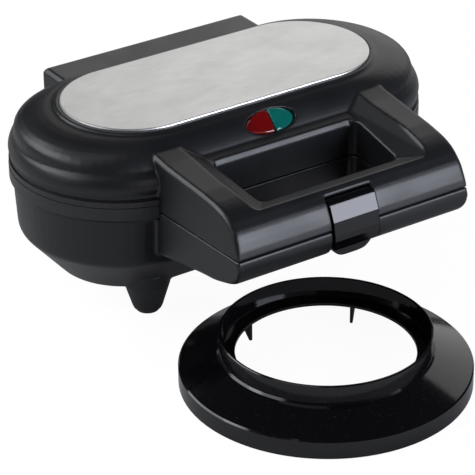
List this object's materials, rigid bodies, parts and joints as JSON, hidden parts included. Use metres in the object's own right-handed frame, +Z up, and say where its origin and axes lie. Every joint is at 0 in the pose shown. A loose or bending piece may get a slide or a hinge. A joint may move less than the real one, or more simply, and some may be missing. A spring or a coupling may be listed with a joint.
{
  "type": "deep-fill pie maker",
  "caption": "Electric pie maker with two deep wells: hinged domed lid, split carry handle with front clip, four feet, and a loose double-sided pastry cutter ring.",
  "frame": {"origin": "centre of the set's footprint (machine and cutter together), on the table", "axes": "+Z up, -Y towards the user (handle and cutter side), +X to the right seen from the front"},
  "size_m": [0.2548, 0.307, 0.1148],
  "materials": {
    "moulding": "fine satin, black",
    "gloss_black": "polished, black",
    "stainless": "brushed",
    "nonstick": "black non-stick coating on cast aluminium",
    "heater_steel": "dull steel tube",
    "reflector": "bright sheet",
    "steel": "bright zinc",
    "rubber": "matt",
    "ceramic": "cream ceramic",
    "lens_red": "clear red",
    "lens_green": "clear blue-green",
    "neon": "clear glass"
  },
  "bodies": {
    "tub": {"base_housing": "moulding", "foot_pads": "rubber", "cord_bush": "rubber", "terminal_block": "ceramic", "base_screws": "steel", "lower_plate": "nonstick", "lower_heater": "heater_steel", "thermostat": "ceramic", "thermal_fuse": "ceramic", "lower_reflector": "reflector", "hinge_pin": "steel"},
    "lid": {"lid_housing": "moulding", "top_plate": "stainless", "upper_plate": "nonstick", "upper_heater": "heater_steel", "upper_reflector": "reflector", "lid_screws": "steel", "red_lens": "lens_red", "green_lens": "lens_green", "neon_lamps": "neon", "clip_pin": "steel"},
    "clip": {"clip": "gloss_black"},
    "cutter": {"pastry_cutter": "gloss_black"}
  },
  "joints": [
    {"name": "lid_hinge", "type": "hinge", "parent": "tub", "child": "lid", "pos_m": [0, 0.14665, 0.0806], "axis": [-1, 0, 0], "range_deg": [0, 95]},
    {"name": "clip_pivot", "type": "hinge", "parent": "lid", "child": "clip", "pos_m": [0, -0.05021, 0.08769], "axis": [-1, 0, 0], "range_deg": [0, 38]},
    {"name": "cutter_slide", "type": "slide", "parent": "tub", "child": "cutter", "axis": [0, -1, 0], "range_m": [0, 0.1]}
  ]
}
